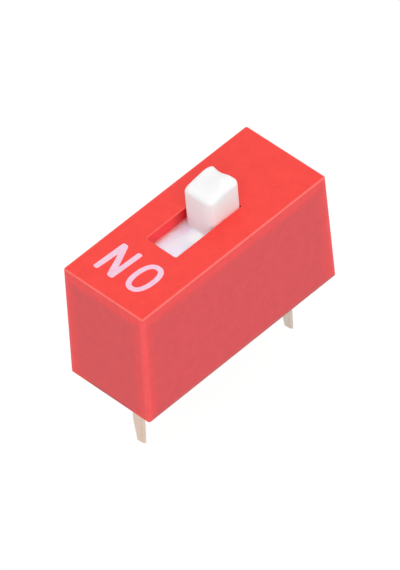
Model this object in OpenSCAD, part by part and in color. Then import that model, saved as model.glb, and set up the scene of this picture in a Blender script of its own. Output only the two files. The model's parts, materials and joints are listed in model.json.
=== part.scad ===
// One-position slide DIP switch with two solder blades.
// Origin: board seating plane, midway between the two blades.
// +Z is up, +Y is towards the ON end, X is across the row of blades. Millimetres.

/* [Cover] */
// Length of the cover at the board
cover_l = 9.8; // [9.8:0.1:12]
// Width of the cover
cover_w = 4.0; // [3.7:0.1:5]
// Height of the cover above the board
cover_h = 5.25; // [4.35:0.05:6.5]
// How far each end wall leans in between the board and the top
end_draft = 0.15; // [0:0.05:0.25]
// Radius of the four upright corners
corner_r = 0.1; // [0.05:0.01:0.4]
// Thickness of the two long walls
side_wall = 0.56; // [0.4:0.02:0.7]
// Thickness of the end walls at the top
end_wall = 0.7; // [0.55:0.05:0.8]
// Thickness of the top wall around the slot
top_wall = 0.72; // [0.6:0.01:0.8]
// Depth of the step in each end wall that the base is pushed up against
ledge = 0.35; // [0.2:0.05:0.4]
// How far the cover's middle lies from the middle of the blades, towards ON
cover_shift = 0.25; // [-0.25:0.05:0.25]

/* [Slot] */
// Length of the slot in the top
slot_l = 3.42; // [2.8:0.02:3.5]
// Width of the slot
slot_w = 1.5; // [1.2:0.02:1.8]
// Radius of the slot's corners
slot_r = 0.07; // [0.03:0.01:0.2]
// Height of the undercut below the slot's long edges
undercut_h = 0.18; // [0.05:0.01:0.3]
// Width of that undercut, each side
undercut_w = 0.25; // [0.1:0.01:0.35]

/* [Actuator] */
// Length of the post along the slot
post_l = 1.47; // [1.2:0.01:1.8]
// Height of the post above the cover, at its ON side
post_rise = 1.2; // [0.6:0.05:2]
// Slope of the post's top, rising away from ON, in degrees
post_slope = 10.7; // [0:0.1:15]
// Radius of the post's upright corners
post_r = 0.1; // [0.05:0.01:0.35]
// Radius of the post's top edge on the ON side
post_on_r = 0.21; // [0.1:0.01:0.35]
// Radius of the post's other top edges
post_top_r = 0.17; // [0.05:0.01:0.25]
// Depth of the finger groove at the far edge of the post's top
groove_depth = 0.16; // [0.05:0.01:0.25]
// Radius of the finger groove
groove_r = 0.65; // [0.4:0.05:0.8]
// How far the finger groove lies off the post's middle, towards +X
groove_shift = 0.18; // [0:0.01:0.2]
// Thickness of the carriage that slides under the top wall
carriage_t = 0.97; // [0.8:0.01:1.3]
// How far the carriage still covers the slot past its end, at either stop
carriage_lap = 0.2; // [0.1:0.01:0.3]
// Depth of the pocket for the moving contact
pocket_depth = 0.3; // [0.2:0.02:0.4]

/* [Base] */
// Height between the base and the carriage, where the moving contact works
spring_room = 1.12; // [1:0.02:1.3]
// Thickness of the guide rails
rail_t = 0.4; // [0.3:0.05:0.5]
// Thickness of the resin
seal_t = 0.3; // [0.2:0.05:0.5]
// Gap between the resin and the board
seal_recess = 0.15; // [0.05:0.05:0.3]

/* [Terminals] */
// Distance between the two rows of a board's holes
row_pitch = 7.62; // [7:0.02:7.7]
// Thickness of the terminal strip
strip_t = 0.16; // [0.12:0.01:0.3]
// Width of the contact plates
plate_w = 1.6; // [1.2:0.1:1.8]
// Width of the solder blades
blade_w = 0.52; // [0.45:0.01:0.6]
// Width of a blade at its tip
tip_w = 0.38; // [0.34:0.01:0.45]
// How much sooner a blade's straight edge ends than its tapered edge
tip_rise = 0.08; // [0:0.01:0.15]
// Length of the blades below the board
blade_l = 3.4; // [2.5:0.1:4]
// Length of the tapered part of a blade
taper_l = 1.0; // [0.5:0.1:2]
// Inner radius of the bend between plate and blade
bend_r = 0.1; // [0.05:0.01:0.15]

/* [Moving contact] */
// Thickness of the spring strip
spring_t = 0.1; // [0.06:0.01:0.15]
// Width of the spring
spring_w = 1.5; // [1.1:0.05:1.6]
// Distance between the two lines of contact
contact_span = 3.0; // [2.8:0.05:3.2]
// Length of the flat held in the pocket
flat_l = 1.5; // [1.3:0.05:1.7]
// Radius of the curled contact ends
toe_r = 0.35; // [0.25:0.01:0.4]
// Width of the slit that splits each arm into two fingers
slit_w = 0.3; // [0.2:0.05:0.4]
// Diameter of the peg that holds the spring
peg_d = 0.7; // [0.5:0.05:0.8]
// Thickness of the peg's staked head
head_t = 0.16; // [0.1:0.01:0.25]
// How far the staked head reaches past the peg all round
head_lip = 0.2; // [0.1:0.01:0.3]
// Part of the travel after which the bridge reaches the ON plate
make_point = 0.4; // [0.3:0.05:0.6]
// How far the far plate reaches past the contact line at ON
plate_lap = 0.3; // [0.2:0.05:0.5]

/* [Clearances] */
// Gap between the carriage and the cover's side walls, each side
side_gap = 0.04; // [0.02:0.01:0.08]
// Gap above and below the carriage
slide_gap = 0.02; // [0.01:0.01:0.05]
// Gap between the post and the slot's sides, each side
post_gap = 0.06; // [0.02:0.01:0.08]
// Gap between the post and the slot's end at each stop
stop_gap = 0.04; // [0.02:0.01:0.1]
// Gap between the base and the cover, and between terminals and base
fit_gap = 0.02; // [0.01:0.01:0.04]
// Gap between the contact lines and the plates
contact_gap = 0.02; // [0.01:0.01:0.04]

/* [Hidden] */
$fn = 48;

// how far a cut runs past the surface that it opens
past = 0.5;

// cover and its two-step cavity
lean = atan(end_draft / cover_h);
top_l = cover_l - 2 * end_draft;
cavity_w = cover_w - 2 * side_wall;
cavity_l = top_l - 2 * end_wall;
base_pocket_l = cavity_l + 2 * ledge;
ceiling_z = cover_h - top_wall;

// actuator at its OFF stop
post_w = slot_w - 2 * post_gap;
travel = slot_l - post_l - 2 * stop_gap;
post_y = cover_shift - travel / 2;
carriage_l = slot_l + travel + 2 * carriage_lap;
carriage_w = cavity_w - 2 * side_gap;
carriage_top = ceiling_z - slide_gap;
carriage_bottom = carriage_top - carriage_t;
post_on_z = cover_h + post_rise;
post_far_z = post_on_z + post_l * tan(post_slope);
spring_seat_z = carriage_bottom + pocket_depth;
// room in the pocket past each end of the flat, where the arms bend down
pocket_room = 0.35;

// base
base_top = carriage_bottom - spring_room;
rail_top = carriage_bottom - slide_gap;
seal_top = seal_recess + seal_t;
base_l = base_pocket_l - 2 * fit_gap;
base_w = cavity_w - 2 * fit_gap;
rail_l = cavity_l - 2 * fit_gap;

// terminals: the bridge rests on the far plate at both stops, and
// reaches the ON plate only on the way to the ON stop
off_plate_end = post_y + travel - contact_span / 2 + plate_lap;
on_plate_end = post_y + contact_span / 2 + make_point * travel;
blade_out = row_pitch / 2 + strip_t / 2;

// moving contact: its arms slope down, tangent to the curled ends
flat_z = spring_seat_z - spring_t / 2;
toe_mid_r = toe_r - spring_t / 2;
toe_y = contact_span / 2;
toe_z = base_top + contact_gap + toe_r;
arm_dy = toe_y - flat_l / 2;
arm_dz = toe_z - flat_z;
arm_angle = atan2(arm_dz, arm_dy) - asin(toe_mid_r / sqrt(arm_dy * arm_dy + arm_dz * arm_dz));
// how far round a curled end goes past its lowest line, in degrees
toe_lift = 65;
toe_steps = 16;
peg_gap = 0.03;
head_d = peg_d + 2 * head_lip;

// a rectangle with round corners, centred on the origin
module round_rect(l, w, r) {
    square([w - 2 * r, l], center = true);
    square([w, l - 2 * r], center = true);
    for (x = [-1, 1], y = [-1, 1])
        translate([x * (w / 2 - r), y * (l / 2 - r)]) circle(r);
}

// a block centred in X and Y between two heights
module block(w, l, z0, z1) {
    translate([-w / 2, -l / 2, z0]) cube([w, l, z1 - z0]);
}

// a block across X between two places along Y and two heights
module strip(w, y0, y1, z0, z1) {
    translate([-w / 2, y0, z0]) cube([w, y1 - y0, z1 - z0]);
}

// what is taken off an edge along X to round it: the edge is at the origin, the
// solid lies towards -Y, and its top rises away from the edge by the slope
module edge_cut(r, l, slope = 0) {
    centre = [-r, -r * (1 - sin(slope)) / cos(slope)];
    up = [sin(slope), cos(slope)];
    rotate([90, 0, 90]) translate([0, 0, -l / 2]) linear_extrude(l) difference() {
        polygon([centre, [past, centre[1]], [past, past], centre + (r + past) * up]);
        translate(centre) circle(r);
    }
}

// an upright prism whose +Y face leans in by the draft, long enough to cross
// the whole cover
module leaning_prism() {
    over_l = 2 * cover_l;
    translate([0, cover_l / 2, 0]) rotate([lean, 0, 0])
        translate([0, -over_l / 2, -past]) linear_extrude(cover_h + 2 * past)
            round_rect(over_l, cover_w, corner_r);
}

module cover() {
    color("#e23b36") translate([0, cover_shift, 0]) difference() {
        intersection() {
            leaning_prism();
            mirror([0, 1, 0]) leaning_prism();
            block(2 * cover_w, 2 * cover_l, 0, cover_h);
        }
        block(cavity_w, base_pocket_l, -past, base_top);
        block(cavity_w, cavity_l, base_top - past, ceiling_z);
        block(slot_w + 2 * undercut_w, slot_l, ceiling_z - past, ceiling_z + undercut_h);
        translate([0, 0, ceiling_z - past]) linear_extrude(top_wall + 2 * past)
            round_rect(slot_l, slot_w, slot_r);
    }
}

// a terminal's seat in the base: room for the plate and a slot for the blade
module terminal_seat(inner_y) {
    y1 = blade_out + fit_gap;
    strip(plate_w + 2 * fit_gap, inner_y - fit_gap, y1, base_top - strip_t, base_top + past);
    strip(blade_w + 2 * fit_gap, y1 - strip_t - 2 * fit_gap - bend_r, y1, 0, base_top);
}

module base() {
    color("#a8322c") difference() {
        translate([0, cover_shift, 0]) {
            block(base_w, base_l, seal_top, base_top);
            for (side = [-1, 1])
                translate([side * (base_w - rail_t) / 2, 0, 0])
                    block(rail_t, rail_l, base_top - past, rail_top);
        }
        terminal_seat(on_plate_end);
        mirror([0, 1, 0]) terminal_seat(-off_plate_end);
    }
}

// a terminal with its blade towards +Y: plate, bend and blade, which tapers along
// its +X edge only
module terminal(inner_y) {
    outer_r = bend_r + strip_t;
    bend_y = blade_out - outer_r;
    bend_z = base_top - outer_r;
    strip(plate_w, inner_y, bend_y - bend_r, base_top - strip_t, base_top);
    strip(blade_w, bend_y - 2 * bend_r, bend_y, base_top - strip_t, base_top);
    translate([-blade_w / 2, bend_y, bend_z]) rotate([90, 0, 90])
        rotate_extrude(angle = 90) translate([bend_r, 0]) square([strip_t, blade_w]);
    translate([0, blade_out, 0]) rotate([90, 0, 0]) linear_extrude(strip_t)
        polygon([[-blade_w / 2, bend_z], [-blade_w / 2, -blade_l + tip_rise],
                 [tip_w - blade_w / 2, -blade_l], [blade_w / 2, -blade_l + taper_l],
                 [blade_w / 2, bend_z]]);
}

module terminal_on() {
    color("#c9bdab") terminal(on_plate_end);
}

module terminal_off() {
    color("#c9bdab") mirror([0, 1, 0]) terminal(-off_plate_end);
}

module resin_seal() {
    color("#c9a562") difference() {
        translate([0, cover_shift, 0])
            block(cavity_w, base_pocket_l, seal_recess, seal_top);
        for (side = [-1, 1])
            translate([0, side * row_pitch / 2, 0])
                block(blade_w, strip_t, seal_recess - past, seal_top + past);
    }
}

// the post, standing at the origin: upright corners, sloping top with rounded
// edges, and a level groove along the slot that runs out towards ON
module post() {
    difference() {
        translate([0, 0, carriage_top - past])
            linear_extrude(post_far_z - carriage_top + past)
                round_rect(post_l, post_w, post_r);
        translate([0, post_l / 2, post_on_z]) {
            edge_cut(post_on_r, 2 * post_w, post_slope);
            rotate([-post_slope, 0, 0]) {
                translate([-post_w, -2 * post_l, 0]) cube([2 * post_w, 3 * post_l, post_l]);
                for (side = [-1, 1])
                    translate([side * post_w / 2, 0, 0]) rotate([0, 0, -side * 90])
                        edge_cut(post_top_r, 4 * post_l);
            }
        }
        translate([0, -post_l / 2, post_far_z]) rotate([0, 0, 180])
            edge_cut(post_top_r, 2 * post_w, -post_slope);
        translate([groove_shift, post_l, post_far_z - groove_depth + groove_r])
            rotate([90, 0, 0]) cylinder(r = groove_r, h = 2 * post_l);
    }
}

module actuator() {
    color("#f4f3f5") translate([0, post_y, 0]) {
        post();
        difference() {
            block(carriage_w, carriage_l, carriage_bottom, carriage_top);
            block(spring_w + 2 * side_gap, flat_l + 2 * pocket_room,
                  carriage_bottom - past, spring_seat_z);
        }
        translate([0, 0, spring_seat_z - spring_t - fit_gap])
            cylinder(d = peg_d, h = spring_t + fit_gap + past);
        translate([0, 0, spring_seat_z - spring_t - fit_gap - head_t])
            cylinder(d = head_d, h = head_t);
    }
}

// half of a line along the bridge, seen from the side, at a height over its
// middle line: from the bend next to the flat to the end of the curl
function half_line(h) = concat(
    [[flat_l / 2 - h * tan(arm_angle / 2), flat_z + h]],
    [for (i = [0 : toe_steps])
        let (turn = arm_angle - 90 + i * (toe_lift - arm_angle) / toe_steps)
        [toe_y + (toe_mid_r - h) * cos(turn), toe_z + (toe_mid_r - h) * sin(turn)]]);

function reversed(points) = [for (i = [len(points) - 1 : -1 : 0]) points[i]];

function mirrored(points) = [for (p = reversed(points)) [-p[0], p[1]]];

function whole_line(h) = concat(mirrored(half_line(h)), half_line(h));

module moving_contact() {
    color("#c8973a") translate([0, post_y, 0]) difference() {
        rotate([90, 0, 90]) translate([0, 0, -spring_w / 2]) linear_extrude(spring_w)
            polygon(concat(whole_line(spring_t / 2), reversed(whole_line(-spring_t / 2))));
        for (side = [-1, 1])
            translate([0, side * (flat_l / 2 + contact_span / 2), 0])
                block(slit_w, contact_span, 0, spring_seat_z + past);
        translate([0, 0, flat_z - past]) cylinder(d = peg_d + 2 * peg_gap, h = 2 * past);
    }
}

cover();
base();
terminal_off();
terminal_on();
resin_seal();
actuator();
moving_contact();
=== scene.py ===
import json
import math

import bmesh
import bpy
from bpy.props import FloatProperty, FloatVectorProperty, PointerProperty
from mathutils import Matrix, Vector


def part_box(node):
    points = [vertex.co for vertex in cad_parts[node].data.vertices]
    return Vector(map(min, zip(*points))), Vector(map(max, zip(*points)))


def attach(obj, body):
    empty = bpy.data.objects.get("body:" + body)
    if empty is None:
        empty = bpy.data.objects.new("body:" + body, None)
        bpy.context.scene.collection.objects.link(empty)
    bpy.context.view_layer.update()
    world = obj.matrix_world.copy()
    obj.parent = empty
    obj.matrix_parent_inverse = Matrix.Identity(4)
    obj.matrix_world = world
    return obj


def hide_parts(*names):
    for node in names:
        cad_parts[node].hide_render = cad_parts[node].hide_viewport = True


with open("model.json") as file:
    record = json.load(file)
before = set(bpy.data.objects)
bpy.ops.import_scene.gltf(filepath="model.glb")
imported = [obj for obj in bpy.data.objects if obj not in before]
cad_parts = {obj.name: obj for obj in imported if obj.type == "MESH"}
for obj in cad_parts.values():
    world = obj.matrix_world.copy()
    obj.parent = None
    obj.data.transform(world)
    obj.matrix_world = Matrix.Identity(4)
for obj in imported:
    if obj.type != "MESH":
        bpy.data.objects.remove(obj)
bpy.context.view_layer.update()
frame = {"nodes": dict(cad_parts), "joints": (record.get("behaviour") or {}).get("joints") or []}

bl_info = {
    "name": "Slide DIP switch",
    "version": (1, 0, 0),
    "blender": (4, 5, 0),
    "location": "3D View > Sidebar > DIP switch",
    "description": "Models a one-position slide DIP switch and sets its studio",
    "category": "Add Mesh",
}

MM = 0.001
X = Vector((1, 0, 0))
# cuts along each edge of the block that the post is shaped from
POST_CUTS = 55
# edges that turn more than this keep a crease
SHARP = math.radians(38)
# points nearer than this are one point
WELD = 1e-7
# how far light spreads inside the white plastic
SCATTER = 0.35 * MM
# radius of the upright corners inside the cover
INNER_CORNER = 0.05 * MM
# how far the step below the slot's long edges runs past its ends
UNDERCUT_PAST = 0.02 * MM
# half the width over which the post's worn corner blends into the others
WORN_BAND = 0.3 * MM
# share of the post's height above which it takes up its slope and groove
SLOPE_START = 0.47
# edges of the stamped strip that turn more than this are rounded
STAMPED = math.radians(50)
# the point that the lights are turned to
LIT_POINT = Vector((0, 0, 0.004))


# ---------------------------------------------------------------- settings


def length(name, description, millimetres, lowest=0):
    """A length, with its default given in millimetres."""
    return FloatProperty(name=name, description=description, default=millimetres * MM,
                         min=lowest, unit="LENGTH", precision=6)


def angle(name, description, degrees):
    """An angle, with its default given in degrees."""
    return FloatProperty(name=name, description=description,
                         default=math.radians(degrees), subtype="ANGLE")


def brightness(name, description, default):
    """The strength of a light."""
    return FloatProperty(name=name, description=description, default=default, min=0)


def colour(name, place, red, green, blue):
    """The linear colour of a place."""
    return FloatVectorProperty(name=name, description=f"Colour of {place}", subtype="COLOR",
                               size=3, min=0, max=1, default=(red, green, blue))


def share(name, description, default):
    """A number from 0 to 1."""
    return FloatProperty(name=name, description=description, default=default,
                         min=0, max=1, subtype="FACTOR")


class CoverSettings(bpy.types.PropertyGroup):
    """The red moulded cover."""
    end_draft: length("End draft", "How far each end leans in between board and top", 0.15)
    corner_radius: length("Corner radius", "Radius of the upright corners", 0.1)
    edge_radius: length("Edge radius", "Radius of the edges round the top", 0.06)
    foot_radius: length("Foot radius", "Radius of the edges at the board", 0.05)
    slot_length: length("Slot length", "Length of the slot in the top", 3.42)
    slot_width: length("Slot width", "Width of the slot in the top", 1.5)
    slot_shift: length("Slot shift", "How far the slot lies off the middle", 0.04)
    slot_radius: length("Slot radius", "Radius of the slot's corners", 0.07)
    slot_edge: length("Slot edge", "Radius of the edge round the slot", 0.035)
    top_wall: length("Top wall", "Thickness of the top round the slot", 0.72)
    undercut: length("Undercut", "Height of the step below the slot's long edges", 0.18)
    undercut_reach: length("Undercut reach", "Width of that step, each side", 0.25)
    ledge: length("Ledge", "Depth of the step that the base is pushed up against", 0.35)
    cavity_clearance: length("Clearance", "Gap between the cover and the base", 0.02)
    top_red: colour("Top red", "the top", 0.945, 0.036, 0.025)
    side_red: colour("Side red", "the middle of the walls", 0.77, 0.044, 0.052)
    # painted light: the walls and the ON end are lighter near their edges, where the plastic
    # carries light out
    lit_red: colour("Lit red", "the walls near their edges", 0.95, 0.044, 0.047)
    end_red: colour("End red", "the middle of the ON end", 0.78, 0.038, 0.046)
    lit_end_red: colour("Lit end red", "the ON end near its edges", 0.99, 0.036, 0.036)
    # painted highlight on the upright edges
    corner_highlight_red: colour("Corner red", "the upright edges", 1.0, 0.075, 0.08)
    # painted highlight along the edges of the top
    rim_highlight_red: colour("Rim red", "the edges of the top", 1.0, 0.16, 0.14)
    # painted shade along the walls' lowest edge, with painted light beside the corners at the ON
    # end
    foot_shade_red: colour("Foot red", "the walls' lowest edge", 0.66, 0.085, 0.085)
    end_foot_shade_red: colour("End foot red", "the ON end's lowest edge", 0.62, 0.046, 0.054)
    foot_glow: colour("Foot glow", "that edge beside the corners", 0.95, 0.045, 0.012)
    # painted highlight along the edge round the slot
    lip_highlight_red: colour("Lip red", "the edge round the slot", 1.0, 0.12, 0.09)
    slot_red: colour("Slot red", "the walls inside the slot", 1.0, 0.010, 0.015)
    # painted shade: the slot's walls darken away from ON
    far_slot_shade_red: colour("Far slot red", "those walls away from ON", 0.56, 0.004, 0.005)
    glow_reach: length("Glow reach", "How far down the walls the edges stay lit", 0.62)
    roughness: share("Roughness", "Roughness of the moulded surface", 0.42)


class LegendSettings(bpy.types.PropertyGroup):
    """The printed ON legend."""
    stroke: length("Stroke", "Width of the printed strokes", 0.22)
    ink_height: length("Ink height", "How far the ink stands proud", 0.012)
    from_end: length("Distance from end", "Gap between the letters' tops and the end", 0.8)
    letter_height: length("Letter height", "Height of the letters", 1.54)
    lean: length("Lean", "How far the letters lean across their height", 0.065)
    o_width: length("O width", "Width of the O", 0.96)
    o_place: length("O place", "Middle of the O across the cover", -0.585, -1)
    n_width: length("N width", "Width of the N", 0.97)
    n_place: length("N place", "Middle of the N across the cover", 0.795)
    ink: colour("Ink", "the ink", 0.90, 0.60, 0.74)


class ActuatorSettings(bpy.types.PropertyGroup):
    """The white slide actuator."""
    carriage_height: length("Carriage height", "Thickness of the sliding carriage", 0.97)
    post_length: length("Post length", "Length of the post along the slot", 1.47)
    post_width: length("Post width", "Width of the post across the slot", 1.38)
    post_rise: length("Post rise", "Height of the post above the cover at ON", 1.2)
    post_slope: angle("Post slope", "Slope of the post's top", 10.7)
    corner_radius: length("Corner radius", "Radius of the post's upright corners", 0.12)
    worn_radius: length("Worn radius", "Radius of the corner that the finger wears", 0.26)
    near_radius: length("ON edge reach", "How far the top edge towards ON is rounded", 0.26)
    far_radius: length("Far edge reach", "How far the top falls away at its far edge", 0.62)
    side_radius: length("Side edge reach", "How far the top's side edges are rounded", 0.19)
    top_radius: length("Top radius", "Height of the rounding of the top edges", 0.23)
    crest: length("Crest", "Height over which the corners widen into the top", 0.28)
    root_radius: length("Root radius", "Radius at the foot of the post's sides", 0.035)
    end_root: length("End root", "Radius at the foot of the post's ends", 0.08)
    soft_edge: length("Soft edge", "Radius of the carriage's edges", 0.05)
    pocket_length: length("Pocket length", "Length of the moving contact's pocket", 2.2)
    pocket_room: length("Pocket room", "Gap beside the moving contact, each side", 0.02)
    pocket_depth: length("Pocket depth", "Depth of the moving contact's pocket", 0.3)
    peg_radius: length("Peg radius", "Radius of the peg through the contact", 0.35)
    head_lip: length("Head lip", "How far the peg's head reaches past the peg", 0.2)
    head_height: length("Head height", "Thickness of the peg's head", 0.16)
    strip_room: length("Strip room", "Height under the head for the contact", 0.12)
    groove_depth: length("Groove depth", "Depth of the finger groove at its far end", 0.17)
    groove_width: length("Groove width", "Width of the finger groove", 1.25)
    groove_shift: length("Groove shift", "How far the groove lies off the middle", 0.26)
    white: colour("White", "the plastic", 0.89, 0.885, 0.89)
    # painted shade, reddened by the red cover, on the post low down
    low_red_shade: colour("Tinge", "the post low down, beside the red", 0.85, 0.80, 0.82)
    # painted light: a bluish tint that offsets the red light that the walls reflect onto the
    # post's upright faces
    counter_bounce_tint: colour("Cool", "the post's side, against the red beside it", 0.84, 0.92, 0.93)
    pearl: colour("Pearl", "the carriage where it is cloudy", 0.86, 0.93, 0.99)
    bright: colour("Bright pearl", "the carriage elsewhere", 0.94, 1.0, 1.0)
    shade: colour("Shade", "the carriage beside the slot's walls", 0.90, 0.87, 0.84)
    # painted shade on the post's rounder near corner
    rounder: colour("Worn", "the post's worn corner", 0.76, 0.79, 0.80)
    # painted red bounce light on the post's sides near the slot's top edge
    red_bounce: colour("Blush", "the post's sides just above the slot", 0.96, 0.76, 0.77)
    # painted shadow of the post on the carriage
    post_shadow: colour("Dusk", "the carriage on the shaded side of the post", 0.90, 0.73, 0.74)
    # painted light: emission colours of the white plastic
    side_glow: colour("Side glow", "the light low on the post's sides", 0.16, 0.0, 0.0)
    top_glow: colour("Top glow", "the light in the far part of the top", 0.07, 0.07, 0.07)
    spot_glow: colour("Spot glow", "the light in the carriage by the post", 0.16, 0.24, 0.25)
    depth_glow: colour("Depth glow", "the light in the middle of the carriage", 0.0, 0.11, 0.19)
    end_glow: colour("End glow", "the light in it towards the ON end", 0.07, 0.21, 0.31)
    far_glow: colour("Far glow", "the light in it behind the post", 0.10, 0.07, 0.09)
    roughness: share("Roughness", "Roughness of the moulded surface", 0.48)


class TerminalSettings(bpy.types.PropertyGroup):
    """The two stamped terminals."""
    blade_width: length("Blade width", "Width of a blade where it leaves the base", 0.52)
    tip_width: length("Tip width", "Width of a blade just above its tip", 0.38)
    taper_length: length("Taper length", "Length of the tapered part", 1.0)
    tip_rise: length("Tip rise", "How much sooner the straight edge ends", 0.05)
    tip_lean: length("Tip lean", "How far the straight edge leans in at the tip", 0.04)
    tip_radius: length("Tip radius", "Radius of the corners at each tip", 0.035)
    tip_slant: length("Tip slant", "How much lower one side of the sheared tip is", 0.09)
    thickness: length("Thickness", "Thickness of the strip", 0.13)
    splay: length("Splay", "How far each tip leans out from under the cover", 0.06)
    off_drop: length("Off drop", "How much lower the far blade reaches", 0.15)
    bend_radius: length("Bend radius", "Inner radius of the bend", 0.1)
    edge_radius: length("Edge radius", "Radius of the stamped edges", 0.02)
    tin: colour("Tin", "the dull plating", 0.78, 0.62, 0.51)
    grey_tin: colour("Grey tin", "the plating on the far blade", 0.70, 0.60, 0.53)
    # painted shade: a broken dark line along the straight edge
    edge_shade: colour("Stain", "the streak along the straight edge", 0.66, 0.48, 0.32)


class ResinSettings(bpy.types.PropertyGroup):
    """The potting resin under the base."""
    creep: length("Creep", "How far the resin climbs along walls and blades", 0.09)
    creep_reach: length("Creep reach", "Width of the climbing border", 0.22)
    amber: colour("Amber", "the resin", 0.46, 0.27, 0.09)
    bubble: colour("Bubble", "the bubbles near its surface", 0.70, 0.52, 0.28)


class StageSettings(bpy.types.PropertyGroup):
    """The floor, the lights and the camera."""
    azimuth: angle("Azimuth", "Direction the camera looks from", 228.03)
    elevation: angle("Elevation", "Height of the camera's view", 46.05)
    roll: angle("Roll", "Turn of the camera about its view", -5.34)
    distance: length("Distance", "Distance from the camera to its target", 301.877)
    target: FloatVectorProperty(name="Target", description="Point the camera looks at",
                                default=(0.0008145, -0.0004489, 0.0008732), unit="LENGTH")
    lens: FloatProperty(name="Lens", description="Focal length in millimetres",
                        default=522.9, unit="CAMERA")
    sky: brightness("Sky", "Strength of the even light all round", 0.7)
    overhead: brightness("Overhead", "Brightness of the overhead light", 0.37)
    front: brightness("Front", "Brightness of the light at the front", 1.32)


class SwitchSettings(bpy.types.PropertyGroup):
    """Everything that a user may change."""
    cover: PointerProperty(type=CoverSettings)
    legend: PointerProperty(type=LegendSettings)
    actuator: PointerProperty(type=ActuatorSettings)
    terminal: PointerProperty(type=TerminalSettings)
    resin: PointerProperty(type=ResinSettings)
    stage: PointerProperty(type=StageSettings)


# --------------------------------------------------------------- materials


class Wire:
    """A socket of a shader tree. Arithmetic on it adds Math nodes."""

    def __init__(self, tree, socket=None):
        self.tree = tree
        self.socket = socket

    def node(self, kind, settings=None, inputs=None, output=0):
        """Adds a node: settings first, then the values or links of its sockets."""
        added = self.tree.nodes.new(kind)
        for name, value in (settings or {}).items():
            if name == "stops":
                set_stops(added.color_ramp, value)
            else:
                setattr(added, name, value)
        for name, value in (inputs or {}).items():
            if isinstance(value, Wire):
                self.tree.links.new(value.socket, added.inputs[name])
            else:
                added.inputs[name].default_value = value
        return Wire(self.tree, added.outputs[output] if added.outputs else None)

    def math(self, operation, *values):
        """One Math node."""
        return self.node("ShaderNodeMath", {"operation": operation}, dict(enumerate(values)))

    def __add__(self, other):
        return self.math("ADD", self, other)

    def __sub__(self, other):
        return self.math("SUBTRACT", self, other)

    def __rsub__(self, other):
        return self.math("SUBTRACT", other, self)

    def __mul__(self, other):
        return self.math("MULTIPLY", self, other)

    __radd__, __rmul__ = __add__, __mul__

    def __abs__(self):
        return self.math("ABSOLUTE", self)

    def fade(self, start, end):
        """1 below start, 0 above end, and smooth between them."""
        return self.node("ShaderNodeMapRange", {"interpolation_type": "SMOOTHSTEP"},
                         {"Value": self, "From Min": start, "From Max": end,
                          "To Min": 1.0, "To Max": 0.0})

    def highest(self, other):
        """The higher of two values at each point."""
        return self.math("MAXIMUM", self, other)

    def blend(self, first, second):
        """The first colour where this is 0 and the second where it is 1."""
        return self.node("ShaderNodeMix", {"data_type": "RGBA"},
                         {0: self, 6: rgba(first), 7: rgba(second)}, output=2)

    def tinted(self, tint):
        """This colour multiplied by another."""
        return self.node("ShaderNodeMix", {"data_type": "RGBA", "blend_type": "MULTIPLY"},
                         {0: 1.0, 6: self, 7: tint}, output=2)


def set_stops(ramp, stops):
    """Gives a colour ramp its stops: a place and a grey value each."""
    while len(ramp.elements) < len(stops):
        ramp.elements.new(1)
    for element, (place, value) in zip(ramp.elements, stops):
        element.position = place
        element.color = (value, value, value, 1)


def rgba(value):
    """A colour with its alpha, or a wire as it is."""
    return value if isinstance(value, Wire) else (*value, 1)


def new_material(name):
    """An empty material and a wire to start its tree from."""
    material = bpy.data.materials.new(name)
    material.use_nodes = True
    material.node_tree.nodes.clear()
    return material, Wire(material.node_tree)


def solid_material(name):
    """An empty material and the point on the object, in millimetres."""
    material, wire = new_material(name)
    coordinates = wire.node("ShaderNodeTexCoord", output=3)
    return material, stretched(coordinates, 1 / MM, 1 / MM, 1 / MM)


def stretched(position, x, y, z):
    """A position with its axes scaled, for grain that runs one way."""
    return position.node("ShaderNodeMapping", {"vector_type": "POINT"},
                         {"Vector": position, "Scale": (x, y, z)})


def axes_of(position):
    """The three numbers of a position."""
    split = position.node("ShaderNodeSeparateXYZ", None, {"Vector": position})
    return [Wire(position.tree, output) for output in split.socket.node.outputs]


def layered(tone, *layers):
    """Lays colours over a tone in turn, each one where its mask is 1."""
    for mask, paint in layers:
        tone = mask.blend(tone, paint)
    return tone


def noise(position, scale, detail=2.0, roughness=0.5):
    """Smooth noise from 0 to 1, with features of 1 / scale millimetres."""
    return position.node("ShaderNodeTexNoise", None,
                         {"Vector": position, "Scale": scale, "Detail": detail,
                          "Roughness": roughness})


def bump(height, millimetres):
    """A normal that follows a height of up to that many millimetres."""
    return height.node("ShaderNodeBump", None,
                       {"Height": height, "Distance": millimetres * MM, "Strength": 1.0})


def surface(wire, **sockets):
    """Ends a tree in a Principled shader. Socket names are given with underscores."""
    inputs = {}
    for name, value in sockets.items():
        inputs[name.replace("_", " ").title().replace("Ior", "IOR")] = value
    shader = wire.node("ShaderNodeBsdfPrincipled", None, inputs)
    wire.node("ShaderNodeOutputMaterial", None, {"Surface": shader})


def edge_distances(position, cover):
    """How far a point is from the nearest wall, the next one, the top and the foot."""
    low, high = (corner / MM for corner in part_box("cover"))
    x, y, z = axes_of(position)
    centre, half = (low + high) / 2, (high - low) / 2
    from_side = half.x - abs(x - centre.x)
    from_end = half.y - z * (cover.end_draft / MM / high.z) - abs(y - centre.y)
    nearer = from_side.math("MINIMUM", from_side, from_end)
    return nearer, from_side.highest(from_end), high.z - z, z - low.z


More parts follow.
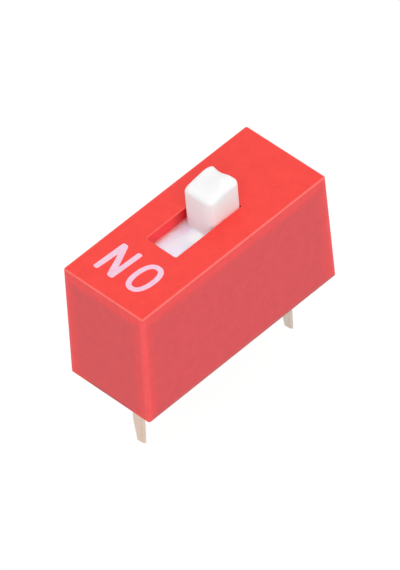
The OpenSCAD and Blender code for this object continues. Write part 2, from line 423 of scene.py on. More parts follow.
def red_plastic(cover):
    """Satin red plastic, with painted light and highlights along its edges and painted shade at
    its foot and deep in the slot.
    """
    material, position = solid_material("red_plastic")
    along = axes_of(position)[1]
    nearer, further, from_top, from_foot = edge_distances(position, cover)

    # walls: painted light near the top and the upright edges
    on_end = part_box("cover")[1].y / MM
    at_on_end = 1 - along.fade(on_end - 0.3, on_end - 0.1)
    reach = cover.glow_reach / MM
    wander = (noise(position, 1.3, 3.0) - 0.5) * 0.3
    lit_band = (from_top + wander).fade(0.4 * reach, 1.2 * reach)
    lit_corner = (further + wander).fade(0.0, 1.2 * reach)
    walls = lit_band.highest(lit_corner * 0.85).blend(
        at_on_end.blend(cover.side_red, cover.end_red),
        at_on_end.blend(cover.lit_red, cover.lit_end_red))
    # painted shade along the walls' foot, turning to painted light beside the corners at the ON
    # end
    foot_shade_red = at_on_end.blend(cover.foot_shade_red, cover.end_foot_shade_red)
    foot_line = (further.fade(0.4, 1.3) * at_on_end).blend(foot_shade_red, cover.foot_glow)

    # the walls' foot with its painted shade and glow, painted highlights on the upright corners,
    # the top, painted highlights on its rim and the slot's edge, and the slot's walls with their
    # painted shade
    inside = (1 - nearer.fade(0.3, 0.4)) * from_top.fade(1.0, 2.0)
    # the slot's walls, with painted shade that darkens them away from ON
    slot_red = along.fade(0.0, 0.85).blend(cover.slot_red, cover.far_slot_shade_red)
    tone = layered(walls,
                   (from_foot.fade(0.09, 0.24) * nearer.fade(0.03, 0.1), foot_line),
                   (further.fade(0.03, 0.26), cover.corner_highlight_red),
                   (from_top.fade(0.01, 0.07), cover.top_red),
                   (nearer.highest(from_top).fade(0.02, 0.08), cover.rim_highlight_red),
                   (inside * (1 - from_top.fade(0.001, 0.006)), cover.lip_highlight_red),
                   (inside * (1 - from_top.fade(0.03, 0.07)), slot_red))

    mottle = (noise(position, 2.4, 5.0, 0.75) - 0.5) * 2.0 + 0.5
    cloudy = mottle.blend((0.90, 0.82, 0.82), (1.02, 1.17, 1.17))
    grain = noise(position, 38.0) * 0.7 + noise(position, 9.0, 3.0) * 0.3
    surface(position, base_color=tone.tinted(cloudy), ior=1.5,
            roughness=cover.roughness + (noise(position, 6.0, 3.0) - 0.5) * 0.12,
            normal=bump(grain, 0.0016))
    return material


def post_places(actuator):
    """In millimetres: the tops of carriage, cover and post, then the post's end and side."""
    low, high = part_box("actuator")
    places = (low.z + actuator.carriage_height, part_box("cover")[1].z, high.z,
              post_centre() + actuator.post_length / 2, actuator.post_width / 2)
    return [place / MM for place in places]


def post_tone(position, actuator, upright, side):
    """Colour of the post, with painted light and shade: reddened shade low down, red bounce
    beside the slot, a bluish tint against that bounce on its upright faces, and shade down its
    rounder near corner.
    """
    across, along, height = axes_of(position)
    carriage_top, cover_top, post_top, post_end, half = post_places(actuator)
    dim_white = tuple(0.975 * part for part in actuator.white)
    # painted shade down the rounder near corner of the post
    corner = across.fade(-half, 0.34 - half) * along.fade(post_end, post_end - 0.34)
    # painted layers: a bluish tint against red bounce light on the upright faces, reddened shade
    # low down, red bounce light beside the slot, shade down the near corner
    return layered(noise(position, 1.8, 3.0).blend(dim_white, actuator.white),
                   (upright * height.fade(post_top - 0.3, post_top - 0.1), actuator.counter_bounce_tint),
                   (height.fade(carriage_top + 0.3, post_top - 0.4) * 0.9, actuator.low_red_shade),
                   (side * height.fade(cover_top - 0.02, cover_top + 0.25), actuator.red_bounce),
                   (corner * height.fade(post_top - 0.5, post_top - 0.2) * 0.8, actuator.rounder))


def white_plastic(actuator):
    """Satin white plastic: pearly on the carriage, with painted light and shade on the carriage
    and up the post.
    """
    material, position = solid_material("white_plastic")
    across, along, height = axes_of(position)
    carriage_top, cover_top, post_top, post_end, half = post_places(actuator)
    side = abs(across).fade(half, half - 0.16)
    upright = side.highest(along.fade(post_end, post_end - 0.16))
    post = post_tone(position, actuator, upright, side)

    # carriage: cloudy, with painted shade beside the slot's walls and a painted shadow on the
    # shaded side of the post
    murk = (noise(position, 1.5, 3.0, 0.6) + across * 0.15).fade(0.36, 0.64)
    in_middle = abs(across).fade(0.62, 0.9)
    by_post = along.fade(post_end + 0.3, post_end + 0.8)
    by_post = by_post * (1 - along.fade(post_end - 0.3, post_end - 0.1))
    pearl = layered(actuator.shade,
                    (in_middle, murk.blend(actuator.bright, actuator.pearl)),
                    (by_post * (1 - across.fade(0.2, 0.5)), actuator.post_shadow))
    on_carriage = height.fade(carriage_top + 0.01, carriage_top + 0.12)

    # painted light (emission): on the post, and then on the carriage, with a lit patch on one
    # side of the post
    far_top = along.fade(post_end - 1.4, post_end - 0.5)
    far_top = far_top * (1 - height.fade(post_top - 0.4, post_top - 0.2))
    post_glow = layered((0, 0, 0),
                        (side * height.fade(cover_top - 0.1, cover_top + 0.1),
                         actuator.side_glow),
                        (far_top, actuator.top_glow))
    glow = layered(actuator.end_glow,
                   (along.fade(post_end + 0.8, post_end + 1.4), actuator.depth_glow),
                   (along.fade(post_end - 1.6, post_end - 1.4), actuator.far_glow),
                   (by_post * across.fade(0.0, 0.35), actuator.spot_glow))

    grain = noise(position, 30.0) * 0.6 + noise(position, 7.0, 3.0) * 0.4
    surface(position, base_color=on_carriage.blend(post, pearl), ior=1.5,
            emission_color=(on_carriage * in_middle).blend(post_glow, glow),
            emission_strength=1.0, subsurface_weight=1.0, subsurface_scale=1.0,
            subsurface_radius=(SCATTER, SCATTER, SCATTER),
            roughness=actuator.roughness + (noise(position, 5.0, 3.0) - 0.5) * 0.1,
            normal=bump(grain, 0.0014))
    return material


def legend_ink(legend):
    """Printed ink that lets a little of the red through."""
    material, position = solid_material("legend_ink")
    thin = tuple(part * tint for part, tint in zip(legend.ink, (0.98, 0.86, 0.90)))
    cloud = noise(position, 4.5, 4.0, 0.65)
    thick = cloud.node("ShaderNodeValToRGB", {"stops": [(0.3, 0), (0.62, 1)]}, {"Fac": cloud})
    surface(position, base_color=thick.blend(thin, legend.ink), ior=1.45,
            roughness=0.5 + cloud * 0.15, normal=bump(noise(position, 20.0, 3.0), 0.004))
    return material


def dull_tin(terminal):
    """Dull tin plating with the fine drawn lines of the strip under it."""
    material, position = solid_material("tinned_brass")
    lines = noise(stretched(position, 14.0, 14.0, 0.8), 1.6, 3.0, 0.6)
    cloud = noise(position, 2.6, 4.0, 0.6)
    x, y, z = axes_of(position)
    tone = y.fade(-2.0, 2.0).blend(terminal.tin, terminal.grey_tin)
    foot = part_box("terminal_on")[0].z / MM
    straight = z.fade(foot, foot + 1) * (terminal.tip_lean / MM) - terminal.blade_width / MM / 2
    # painted shade: a broken dark line just in from the straight edge
    streak = abs(x - straight - 0.07).fade(0.02, 0.06) * lines.fade(0.9, 0.3)
    tone = streak.blend(tone, terminal.edge_shade)
    shade = (lines * 0.45 + cloud * 0.55).blend((0.80, 0.80, 0.80), (1.16, 1.16, 1.16))
    surface(position, base_color=tone.tinted(shade), metallic=0.75,
            roughness=0.42 + cloud * 0.2,
            normal=bump(lines * 0.6 + noise(position, 16.0, 3.0) * 0.4, 0.003))
    return material


def amber_resin(resin):
    """Cast resin: glossy and cloudy, with fine bubbles near its surface."""
    material, position = solid_material("resin")
    cloud = noise(position, 1.1, 4.0, 0.6)
    cells = position.node("ShaderNodeTexVoronoi", None,
                          {"Vector": position, "Scale": 3.2, "Randomness": 1.0})
    bubble = cells.fade(0.05, 0.11)
    tone = cloud.blend(tuple(0.8 * part for part in resin.amber),
                       tuple(1.15 * part for part in resin.amber))
    surface(position, base_color=(bubble * 0.35).blend(tone, resin.bubble), ior=1.5,
            roughness=0.14 + cloud * 0.12,
            normal=bump(noise(position, 0.9) + bubble * -0.3, 0.02))
    return material


def base_plastic():
    """Matt dark red plastic for the hidden base."""
    material, position = solid_material("base_plastic")
    cloud = noise(position, 1.6, 4.0)
    surface(position, base_color=cloud.blend((0.36, 0.022, 0.020), (0.44, 0.030, 0.026)),
            ior=1.5, roughness=0.5 + cloud * 0.15, normal=bump(noise(position, 26.0), 0.002))
    return material


def gold_flash():
    """Thin gold over rolled spring strip."""
    material, position = solid_material("gold_contact")
    rolled = noise(stretched(position, 16.0, 1.2, 1.2), 1.5, 3.0)
    surface(position, base_color=rolled.blend((0.80, 0.52, 0.18), (0.93, 0.68, 0.30)),
            metallic=1.0, roughness=0.22 + rolled * 0.14, normal=bump(rolled, 0.002))
    return material


# ----------------------------------------------------------------- shapes


def verts_of(made):
    """The points among the things that an operator made."""
    return [item for item in made["geom"] if isinstance(item, bmesh.types.BMVert)]


def move(bm, verts, x, y, z):
    """Moves points by a step."""
    bmesh.ops.translate(bm, verts=verts, vec=(x, y, z))


def bevel(bm, items, affect, offset, segments):
    """Rounds corners or edges with true arcs."""
    return bmesh.ops.bevel(bm, geom=items, affect=affect, offset=offset, offset_type="OFFSET",
                           segments=segments, profile=0.5, material=-1, clamp_overlap=True)


def inset(bm, face, thickness, depth=0.0):
    """Insets a face, which stays the inner one."""
    bmesh.ops.inset_individual(bm, faces=[face], thickness=thickness, depth=depth,
                               use_even_offset=True)


def extrude_up(bm, faces, rise):
    """Extrudes faces along Z, keeps the old ones, and returns what was made."""
    made = bmesh.ops.extrude_face_region(bm, geom=faces, use_keep_orig=True)
    move(bm, verts_of(made), 0, 0, rise)
    return made["geom"]


def plate(bm, low, high, height, radius, segments):
    """A flat face with round corners between two corners, facing up."""
    made = bmesh.ops.create_grid(bm, x_segments=1, y_segments=1, size=0.5)
    size, centre = high - low, (high + low) / 2
    bmesh.ops.scale(bm, verts=made["verts"], vec=(size.x, size.y, 1))
    move(bm, made["verts"], centre.x, centre.y, height)
    face = bevel(bm, made["verts"], "VERTICES", radius, segments)["verts"][0].link_faces[0]
    face_out(face, 1)
    return face


def raise_face(bm, face, rise, keep=False):
    """Extrudes a face along Z and returns the moved copy."""
    made = extrude_up(bm, [face], rise)
    if not keep:
        open_face(bm, face)
    return next(item for item in made if isinstance(item, bmesh.types.BMFace))


def face_out(face, direction):
    """Turns a level face to look up or down."""
    face.normal_update()
    if face.normal.z * direction < 0:
        face.normal_flip()


def round_rim(bm, face, radius, segments, sink=False):
    """Rounds the edge about a flat face, by rings that turn from upright to flat.

    With sink, the rings turn the other way, into a hole that the face still covers.
    """
    for step in range(segments):
        start, end = (math.pi / 2 * (step + i) / segments for i in (0, 1))
        across = radius * (math.cos(start) - math.cos(end))
        up = radius * (math.sin(end) - math.sin(start))
        if sink:
            across, up = up, -across
        inset(bm, face, across, up)


def add_slab(bm, low, high, corner, foot_edge, top_edge, draft=0.0):
    """A block between two corners, with round corners and edges.

    Its ends lean in by the draft towards the top. Returns its lowest and highest faces.
    """
    foot = plate(bm, low, high, low.z + foot_edge, corner, 10)
    top = raise_face(bm, foot, high.z - top_edge - low.z - foot_edge, keep=True)
    middle, half = (low.y + high.y) / 2, (high.y - low.y) / 2
    for vert in top.verts:
        vert.co.y = middle + (vert.co.y - middle) * (1 - draft / half)
    face_out(foot, -1)
    face_out(top, 1)
    round_rim(bm, top, top_edge, 6)
    round_rim(bm, foot, foot_edge, 4)
    return foot, top


def open_face(bm, face):
    """Removes a face and returns the edges round the hole it leaves."""
    edges = list(face.edges)
    bmesh.ops.delete(bm, geom=[face], context="FACES_ONLY")
    return edges


def raise_edges(bm, edges, rise):
    """Extrudes a ring of edges along Z and returns the moved ring."""
    made = bmesh.ops.extrude_edge_only(bm, edges=edges)
    ring = set(verts_of(made))
    move(bm, list(ring), 0, 0, rise)
    return [item for item in made["geom"] if isinstance(item, bmesh.types.BMEdge)
            and ring.issuperset(item.verts)]


def fill_between(bm, first, second):
    """Fills the flat area between two rings of edges, one inside the other."""
    bmesh.ops.triangle_fill(bm, edges=first + second, use_beauty=True, use_dissolve=False)


def step_hole(bm, hole, low, high, start, end, corner=INNER_CORNER):
    """Steps a hole to the ring between two corners at one height, drawn to another.

    hole is the ring of edges that the step starts from. Returns the new ring's end.
    """
    ring = open_face(bm, plate(bm, low, high, start, corner, 2))
    fill_between(bm, hole, ring)
    return raise_edges(bm, ring, end - start)


def add_object(name, data):
    """Adds an object to the scene, at the origin."""
    added = bpy.data.objects.new(name, data)
    bpy.context.scene.collection.objects.link(added)
    return added


def add_mesh(name, bm, material):
    """Adds a bmesh to the scene as an object with one material."""
    mesh = bpy.data.meshes.new(name)
    bm.to_mesh(mesh)
    bm.free()
    mesh.materials.append(material)
    return add_object(name, mesh)


def add_piece(name, bm, material, body, slot, *replaced):
    """Finishes a bmesh as a piece that rides on a body and stands for its nodes."""
    bmesh.ops.remove_doubles(bm, verts=bm.verts, dist=WELD)
    bmesh.ops.recalc_face_normals(bm, faces=bm.faces)
    for face in bm.faces:
        face.smooth = True
    for edge in bm.edges:
        edge.smooth = edge.calc_face_angle(0) < SHARP
    piece = add_mesh(name, bm, material)
    normals = piece.modifiers.new("Flat faces first", "WEIGHTED_NORMAL")
    normals.weight = 100
    normals.keep_sharp = True
    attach(piece, body)
    if replaced:
        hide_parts(*replaced)


# ----------------------------------------------------------------- pieces


def build_cover(cover):
    """The cover: a rounded shell, its slot and the stepped cavity below it."""
    low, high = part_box("cover")
    centre = (low + high) / 2 + cover.slot_shift * X
    bm = bmesh.new()
    foot, top = add_slab(bm, low, high, cover.corner_radius, cover.foot_radius,
                         cover.edge_radius, cover.end_draft)

    # the slot, and the step below its long edges
    half = Vector((cover.slot_width / 2, cover.slot_length / 2, 0))
    rim = Vector((cover.slot_edge, cover.slot_edge, 0))
    slot = plate(bm, centre - half - rim, centre + half + rim, high.z,
                 cover.slot_radius + cover.slot_edge, 4)
    round_rim(bm, slot, cover.slot_edge, 3, sink=True)
    slot_rim = [edge for edge in bm.edges if edge.is_boundary]
    fill_between(bm, open_face(bm, top), slot_rim)
    ceiling = high.z - cover.top_wall
    undercut = ceiling + cover.undercut
    slot = raise_face(bm, slot, undercut - slot.verts[0].co.z)
    step = Vector((cover.undercut_reach, UNDERCUT_PAST, 0))
    ring = step_hole(bm, open_face(bm, slot), centre - half - step, centre + half + step,
                     undercut, ceiling)

    # the chamber for the carriage, and the pocket for the base
    gap = Vector((cover.cavity_clearance, cover.cavity_clearance, 0))
    ledge = Vector((0, cover.ledge, 0))
    base_low, base_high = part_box("base")
    base_low, base_high = base_low - gap, base_high + gap
    base_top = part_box("terminal_on")[1].z
    ring = step_hole(bm, ring, base_low + ledge, base_high - ledge, ceiling, base_top)
    ring = step_hole(bm, ring, base_low, base_high, base_top, low.z)
    fill_between(bm, ring, open_face(bm, foot))
    add_piece("cover_shell", bm, red_plastic(cover), "root", "red_plastic", "cover")


def letter_face(bm, points, radius, height):
    """A flat letter from its outline's corners, each of them slightly rounded."""
    verts = [bm.verts.new((x, y, height)) for x, y in points]
    bm.faces.new(verts)
    bevel(bm, verts, "VERTICES", radius, 4)


def build_legend(legend, cover):
    """The ON legend, printed on the cover's top at the end the post slides to."""
    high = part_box("cover")[1]
    bm = bmesh.new()
    foot = high.z - legend.ink_height / 2
    y1 = high.y - cover.end_draft - legend.from_end
    y0 = y1 - legend.letter_height
    stroke, lean = legend.stroke, legend.lean

    # O: an oval ring that leans a little
    oval = bmesh.ops.create_circle(bm, cap_ends=True, segments=56, radius=1)["verts"]
    for vert in oval:
        full = [math.copysign(abs(part) ** 0.86, part) for part in vert.co.xy]
        vert.co.y = full[1] * (y1 - y0) / 2
        vert.co.x = full[0] * legend.o_width / 2 + legend.o_place + full[1] / 2 * lean
    move(bm, oval, 0, (y0 + y1) / 2, foot)
    inside = oval[0].link_faces[0]
    inset(bm, inside, stroke * 0.95)
    open_face(bm, inside)

    # N: two uprights and the stroke between them, as one outline
    left, right = legend.n_place - legend.n_width / 2, legend.n_place + legend.n_width / 2
    notch, soft = stroke * 2.35, stroke * 0.36
    letter_face(bm, [(left - lean, y0), (left - lean + stroke, y0),
                     (left + stroke - 0.4 * lean, y1 - notch),
                     (right - lean - stroke * 1.1, y0), (right - lean, y0),
                     (right, y1), (right - stroke, y1),
                     (right - stroke * 1.15 - 0.6 * lean, y0 + notch),
                     (left + stroke * 1.2, y1), (left, y1)], soft, foot)
    extrude_up(bm, list(bm.faces), 1.5 * legend.ink_height)
    add_piece("legend", bm, legend_ink(legend), "root", "white_plastic")


def cast_round(vert, low, high, radii):
    """Moves a point of a divided block's surface onto its rounded edges.

    radii holds, for each axis, the radius at the low side and at the high side.
    """
    core, pull, reach = Vector(), Vector(), Vector((1, 1, 1))
    for axis in range(3):
        place = vert.co[axis]
        near, far = radii[axis]
        core[axis] = place
        if near and place < low[axis] + near:
            core[axis], reach[axis] = low[axis] + near, near
        elif far and place > high[axis] - far:
            core[axis], reach[axis] = high[axis] - far, far
        pull[axis] = (place - core[axis]) / reach[axis]
    if pull.length > 0:
        pull.normalize()
    vert.co = core + Vector(pull[i] * reach[i] for i in range(3))


def smooth(low, high, value):
    """0 below low, 1 above high, and smooth between them."""
    part = min(max((value - low) / (high - low), 0), 1)
    return part * part * (3 - 2 * part)


def shape_post(post, actuator, low, high):
    """Rounds the post, slopes its top, sinks its groove and flares its root."""
    roots = (actuator.root_radius, actuator.end_root)
    slope = math.tan(actuator.post_slope)
    plain = actuator.corner_radius
    middle = (low + high) / 2
    core = Vector(((high.x - low.x) / 2 - plain, (high.y - low.y) / 2 - plain, 0))
    for vert in post:
        rounder = smooth(-WORN_BAND, WORN_BAND, middle.x - vert.co.x)
        rounder *= smooth(-WORN_BAND, WORN_BAND, vert.co.y - middle.y)
        corner = plain + (actuator.worn_radius - plain) * rounder
        crest = smooth(high.z - actuator.crest, high.z, vert.co.z)
        far = corner + (actuator.far_radius - corner) * crest
        near = corner + (actuator.near_radius - corner) * crest
        side = corner + (actuator.side_radius - corner) * crest
        cast_round(vert, low, high, ((side, side), (far, near), (0, actuator.top_radius)))
        above_root = vert.co.z - low.z
        up = smooth(SLOPE_START, 1.0, above_root / (high.z - low.z))
        sink = actuator.groove_depth - slope * (vert.co.y - low.y)
        sink = 0.5 * (sink + math.hypot(sink, 0.1 * actuator.groove_depth))
        off_groove = abs(vert.co.x - middle.x - actuator.groove_shift)
        across = min(off_groove / (actuator.groove_width / 2), 1)
        groove = sink * math.cos(across * math.pi / 2) ** 2
        vert.co.z += up * (slope * (high.y - vert.co.y) - groove)
        from_middle = vert.co - middle
        outward = Vector([math.copysign(max(abs(from_middle[i]) - core[i], 0),
                                        from_middle[i]) for i in (0, 1)] + [0]).normalized()
        for axis, root in enumerate(roots):
            fall = min(max(1 - above_root / root, 0), 1)
            vert.co[axis] += outward[axis] * root * (1 - math.sqrt(1 - fall * fall))


def post_centre():
    """Where the middle of the post is along the slot, at rest."""
    low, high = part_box("cover")
    return (low.y + high.y - frame["joints"][0]["range_m"][1]) / 2


def add_post(bm, actuator, low, high):
    """The post, open below. Returns the edges round its foot."""
    bmesh.ops.create_cube(bm, size=1)
    bmesh.ops.scale(bm, verts=bm.verts, vec=high - low)
    move(bm, bm.verts, *(low + high) / 2)
    bmesh.ops.subdivide_edges(bm, edges=bm.edges, cuts=POST_CUTS, use_grid_fill=True)
    under = [face for face in bm.faces if face.normal.z < -0.5]
    bmesh.ops.delete(bm, geom=under, context="FACES")
    foot = [edge for edge in bm.edges if edge.is_boundary]
    shape_post(bm.verts, actuator, low, high)
    return foot


def add_peg(bm, actuator, along, root_z):
    """The peg that is staked over the moving contact. Returns the edges round its root."""
    edge = actuator.soft_edge
    disc = bmesh.ops.create_circle(bm, cap_ends=True, segments=32,
                                   radius=actuator.peg_radius + actuator.head_lip)["verts"]
    head_z = root_z - actuator.strip_room - actuator.head_height
    move(bm, disc, 0, along, head_z + edge)
    head = disc[0].link_faces[0]
    neck = raise_face(bm, head, actuator.head_height - edge, keep=True)
    face_out(head, -1)
    face_out(neck, 1)
    round_rim(bm, head, edge, 3)
    inset(bm, neck, actuator.head_lip)
    return open_face(bm, raise_face(bm, neck, actuator.strip_room))


def build_actuator(actuator):
    """The actuator: a carriage under the cover's top, and the post in its slot."""
    low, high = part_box("actuator")
    top_z = low.z + actuator.carriage_height
    middle = Vector((0, post_centre(), 0))
    half = Vector((actuator.post_width / 2, actuator.post_length / 2, 0))
    bm = bmesh.new()
    post_high = Vector((0, 0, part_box("cover")[1].z + actuator.post_rise))
    post_foot = add_post(bm, actuator, middle - half + Vector((0, 0, top_z)),
                         middle + half + post_high)
    edge = actuator.soft_edge
    foot, top = add_slab(bm, low, Vector((high.x, high.y, top_z)), 2 * edge, edge, edge)
    fill_between(bm, open_face(bm, top), post_foot)

    # the pocket below for the moving contact, and the peg in its middle
    seat = low.z + actuator.pocket_depth
    contact_low, contact_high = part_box("moving_contact")
    room = Vector((actuator.pocket_room, actuator.pocket_length / 2, 0))
    pocket_top = step_hole(bm, open_face(bm, foot), middle + contact_low.x * X - room,
                           middle + contact_high.x * X + room, low.z, seat, edge)
    fill_between(bm, add_peg(bm, actuator, middle.y, seat), pocket_top)
    add_piece("slide_actuator", bm, white_plastic(actuator), "slider", "white_plastic",
              "actuator")


def next_station(bm, edge, along, left, right):
    """Extrudes the end edge of a strip to its next width and returns the new end."""
    ends = verts_of(bmesh.ops.extrude_edge_only(bm, edges=[edge]))
    ends.sort(key=lambda vert: vert.co.x)
    ends[0].co = (left, along, 0)
    ends[1].co = (right, along, 0)
    return bm.edges.get(ends)


def stamp_strip(bm, terminal, half_plate, inner, bend, tip):
    """A terminal before it is bent: its plate, then its blade with a tapered tip.

    inner is where the plate starts, bend the places of the cuts across the bend.
    """
    half_blade = terminal.blade_width / 2
    neck = bend[0] - 2 * terminal.bend_radius
    stations = [(neck, half_plate), (neck, half_blade)]
    stations += [(along, half_blade) for along in bend + [tip - terminal.taper_length]]
    edge = bm.edges.new([bm.verts.new((side * half_plate, inner, 0)) for side in (-1, 1)])
    for along, half in stations:
        edge = next_station(bm, edge, along, -half, half)
    edge = next_station(bm, edge, tip, terminal.tip_lean - half_blade,
                        terminal.tip_width - half_blade)
    min(edge.verts, key=lambda vert: vert.co.x).co.y -= terminal.tip_rise
    bevel(bm, list(edge.verts), "VERTICES", terminal.tip_radius, 4)
    bmesh.ops.solidify(bm, geom=list(bm.faces), thickness=terminal.thickness)
    bmesh.ops.recalc_face_normals(bm, faces=bm.faces)
    heights = [vert.co.z for vert in bm.verts]
    move(bm, bm.verts, 0, 0, -(max(heights) + min(heights)) / 2)
    sharp = [edge for edge in bm.edges if edge.is_manifold
             and edge.calc_face_angle() > STAMPED]
    bevel(bm, sharp, "EDGES", terminal.edge_radius, 3)


def build_terminals(terminal):
    """Each terminal: stamped flat, then bent down into its blade, and sheared."""
    material = dull_tin(terminal)
    middle_radius = terminal.bend_radius + terminal.thickness / 2
    arc = middle_radius * math.pi / 2
    for node, out in (("terminal_off", -1), ("terminal_on", 1)):
        low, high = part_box(node)
        inner, outer = sorted((out * low.y, out * high.y))
        bend_y = outer - terminal.bend_radius - terminal.thickness
        bend_z = high.z - terminal.bend_radius - terminal.thickness
        drop = 0 if out > 0 else terminal.off_drop
        straight_start = bend_y + arc
        tip = straight_start + bend_z - low.z + drop
        bm = bmesh.new()
        bend = [bend_y + arc * i / 10 for i in range(11)]
        stamp_strip(bm, terminal, (high.x - low.x) / 2, inner, bend, tip)
        for vert in bm.verts:
            along, height = vert.co.y, vert.co.z
            turn = min(max((along - bend_y) / middle_radius, 0), math.pi / 2)
            past = max(along - bend_y - arc, 0)
            radius = middle_radius + height
            vert.co.z = bend_z + radius * math.cos(turn) - past
            sheared = smooth(0.5, 0.9, past / (tip - straight_start))
            vert.co.z += terminal.tip_slant * sheared * out * height / terminal.thickness
            splay = terminal.splay * max(vert.co.z / low.z, 0)
            vert.co.y = out * (min(along, bend_y) + radius * math.sin(turn) + splay)
        add_piece(node.replace("terminal", "blade"), bm, material, "root", "tinned_brass", node)


def build_resin(resin, terminal):
    """The resin, drawn up in a low border along the walls and round both blades."""
    low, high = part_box("resin_seal")
    middle = (low + high) / 2
    bm = bmesh.new()
    bmesh.ops.create_grid(bm, x_segments=64, y_segments=192, size=0.5)
    bmesh.ops.scale(bm, verts=bm.verts, vec=high - low)
    move(bm, bm.verts, middle.x, middle.y, low.z)
    extrude_up(bm, list(bm.faces), high.z - low.z)
    blades = [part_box("terminal_on")[1].y - terminal.thickness / 2,
              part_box("terminal_off")[0].y + terminal.thickness / 2]
    for vert in bm.verts:
        if vert.co.z > low.z + WELD:
            continue
        gaps = [vert.co.x - low.x, high.x - vert.co.x, vert.co.y - low.y, high.y - vert.co.y]
        for blade_y in blades:
            gaps.append(math.hypot(max(abs(vert.co.x) - terminal.blade_width / 2, 0),
                                   max(abs(vert.co.y - blade_y) - terminal.thickness / 2, 0)))
        vert.co.z -= resin.creep * math.exp(-3 * min(gaps) / resin.creep_reach)
    add_piece("resin", bm, amber_resin(resin), "root", "resin", "resin_seal")


# ------------------------------------------------------------------ stage


def add_camera(stage):
    """The camera, at the stage's angle and distance from its target."""
    data = bpy.data.cameras.new("camera")
    data.sensor_width = 36
    data.lens = stage.lens
    camera = add_object("camera", data)
    turn = (Matrix.Rotation(stage.azimuth, 4, "Z")
            @ Matrix.Rotation(math.pi / 2 - stage.elevation, 4, "X")
            @ Matrix.Rotation(stage.roll, 4, "Z"))
    camera.matrix_world = (Matrix.Translation(stage.target) @ turn
                           @ Matrix.Translation((0, 0, stage.distance)))
    bpy.context.scene.camera = camera


def seen_directly(wire):
    """1 for rays that show the stage as a background, 0 for rays that light things."""
    rays = wire.node("ShaderNodeLightPath").socket.node.outputs
    first, second, third = (Wire(wire.tree, rays[name]) for name in
                            ("Is Camera Ray", "Is Glossy Ray", "Is Transmission Ray"))
    return first.highest(second).highest(third)


def floor_material():
    """A pale floor that shows as white but keeps the object's shadow."""
    material, wire = new_material("pale_floor")
    lit = wire.node("ShaderNodeBsdfDiffuse", None, {"Color": (0.55, 0.55, 0.55, 1)})
    faint = wire.node("ShaderNodeBsdfDiffuse", None, {"Color": (0.12, 0.12, 0.12, 1)})
    glow = wire.node("ShaderNodeEmission", None, {"Color": (1, 1, 1, 1), "Strength": 0.92})
    shown = wire.node("ShaderNodeAddShader", None, {0: faint, 1: glow})
    mixed = wire.node("ShaderNodeMixShader", None, {0: seen_directly(wire), 1: lit, 2: shown})
    wire.node("ShaderNodeOutputMaterial", None, {"Surface": mixed})
    return material


def add_floor(terminal):
    """The floor, on which the blades' tips stand."""
    bm = bmesh.new()
    bmesh.ops.create_grid(bm, x_segments=1, y_segments=1, size=1.5)
    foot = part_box("terminal_off")[0].z - terminal.off_drop - terminal.tip_slant / 2
    move(bm, bm.verts, 0, 0, foot)
    add_mesh("floor", bm, floor_material())


def add_sky(stage):
    """Even white light from all round, behind a white background."""
    world = bpy.data.worlds.new("sky")
    world.use_nodes = True
    world.node_tree.nodes.clear()
    wire = Wire(world.node_tree)
    strength = seen_directly(wire) * (1 - stage.sky) + stage.sky
    sky = wire.node("ShaderNodeBackground", None, {"Color": (1, 1, 1, 1), "Strength": strength})
    wire.node("ShaderNodeOutputWorld", None, {"Surface": sky})
    bpy.context.scene.world = world


def add_softbox(name, brightness, size, place):
    """A square soft light of an even brightness, turned to the switch."""
    data = bpy.data.lights.new(name, "AREA")
    data.size = size
    data.energy = math.pi * size * size * brightness
    light = add_object(name, data)
    light.location = place
    light.rotation_mode = "QUATERNION"
    light.rotation_quaternion = (LIT_POINT - Vector(place)).to_track_quat("-Z", "Y")


# -------------------------------------------------------------- operators


class DIP_OT_cover(bpy.types.Operator):
    """Models the red cover with its slot"""
    bl_idname = "dip_switch.cover"
    bl_label = "Cover"

    def execute(self, context):
        build_cover(context.scene.dip_switch.cover)
        return {"FINISHED"}


class DIP_OT_legend(bpy.types.Operator):
    """Prints the ON legend on the cover"""
    bl_idname = "dip_switch.legend"
    bl_label = "Legend"

    def execute(self, context):
        settings = context.scene.dip_switch
        build_legend(settings.legend, settings.cover)
        return {"FINISHED"}


class DIP_OT_actuator(bpy.types.Operator):
    """Models the white slide actuator"""
    bl_idname = "dip_switch.actuator"
    bl_label = "Actuator"

    def execute(self, context):
        build_actuator(context.scene.dip_switch.actuator)
        return {"FINISHED"}


class DIP_OT_terminals(bpy.types.Operator):
    """Models the two stamped terminals"""
    bl_idname = "dip_switch.terminals"
    bl_label = "Terminals"

    def execute(self, context):
        build_terminals(context.scene.dip_switch.terminal)
        return {"FINISHED"}


class DIP_OT_resin(bpy.types.Operator):
    """Models the resin that seals the underside"""
    bl_idname = "dip_switch.resin"
    bl_label = "Resin"

    def execute(self, context):
        settings = context.scene.dip_switch
        build_resin(settings.resin, settings.terminal)
        return {"FINISHED"}


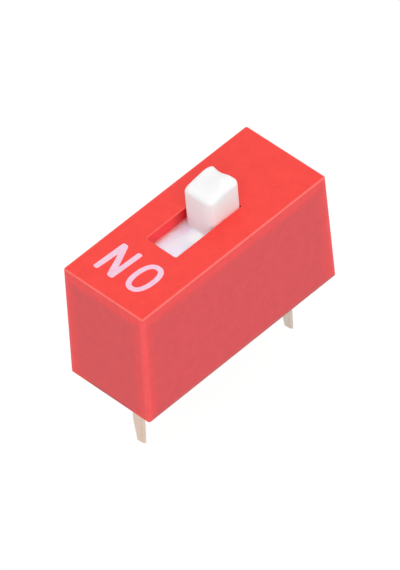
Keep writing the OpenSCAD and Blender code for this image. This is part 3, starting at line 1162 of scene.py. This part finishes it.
class DIP_OT_inner_parts(bpy.types.Operator):
    """Gives the base and the moving contact their finishes"""
    bl_idname = "dip_switch.inner_parts"
    bl_label = "Inner parts"

    def execute(self, context):
        finishes = {"base": base_plastic(), "moving_contact": gold_flash()}
        for node, material in finishes.items():
            for slot in frame["nodes"][node].material_slots:
                slot.material = material
        return {"FINISHED"}


class DIP_OT_stage(bpy.types.Operator):
    """Sets the floor, the lights and the camera"""
    bl_idname = "dip_switch.stage"
    bl_label = "Stage"

    def execute(self, context):
        settings = context.scene.dip_switch
        stage = settings.stage
        add_camera(stage)
        add_floor(settings.terminal)
        add_sky(stage)
        add_softbox("overhead", stage.overhead, 0.16, (0.0, 0.0, 0.12))
        add_softbox("front", stage.front, 0.24, (-0.15, 0.11, 0.12))
        context.scene.view_settings.view_transform = "Standard"
        return {"FINISHED"}


class DIP_PT_panel(bpy.types.Panel):
    """Lists the switch's settings and the steps that build it."""
    bl_label = "Slide DIP switch"
    bl_idname = "DIP_PT_panel"
    bl_space_type = "VIEW_3D"
    bl_region_type = "UI"
    bl_category = "DIP switch"

    def draw(self, context):
        settings = context.scene.dip_switch
        for step, group in STEPS:
            box = self.layout.box()
            box.operator(f"dip_switch.{step}")
            if group:
                values = getattr(settings, group)
                for name in values.__annotations__:
                    box.prop(values, name)


# each building step, with the settings that it shows
STEPS = (("stage", "stage"), ("cover", "cover"), ("legend", "legend"),
         ("actuator", "actuator"), ("terminals", "terminal"), ("resin", "resin"),
         ("inner_parts", None))

CLASSES = (CoverSettings, LegendSettings, ActuatorSettings, TerminalSettings, ResinSettings,
           StageSettings, SwitchSettings, DIP_OT_cover, DIP_OT_legend, DIP_OT_actuator,
           DIP_OT_terminals, DIP_OT_resin, DIP_OT_inner_parts, DIP_OT_stage, DIP_PT_panel)


def register():
    """Registers the classes and the scene's settings."""
    for each in CLASSES:
        bpy.utils.register_class(each)
    bpy.types.Scene.dip_switch = PointerProperty(type=SwitchSettings)


def unregister():
    """Takes the settings and the classes away again."""
    del bpy.types.Scene.dip_switch
    for each in reversed(CLASSES):
        bpy.utils.unregister_class(each)


def main():
    """Builds the switch and its stage."""
    register()
    for step, _ in STEPS:
        getattr(bpy.ops.dip_switch, step)()


if __name__ == "__main__":
    main()
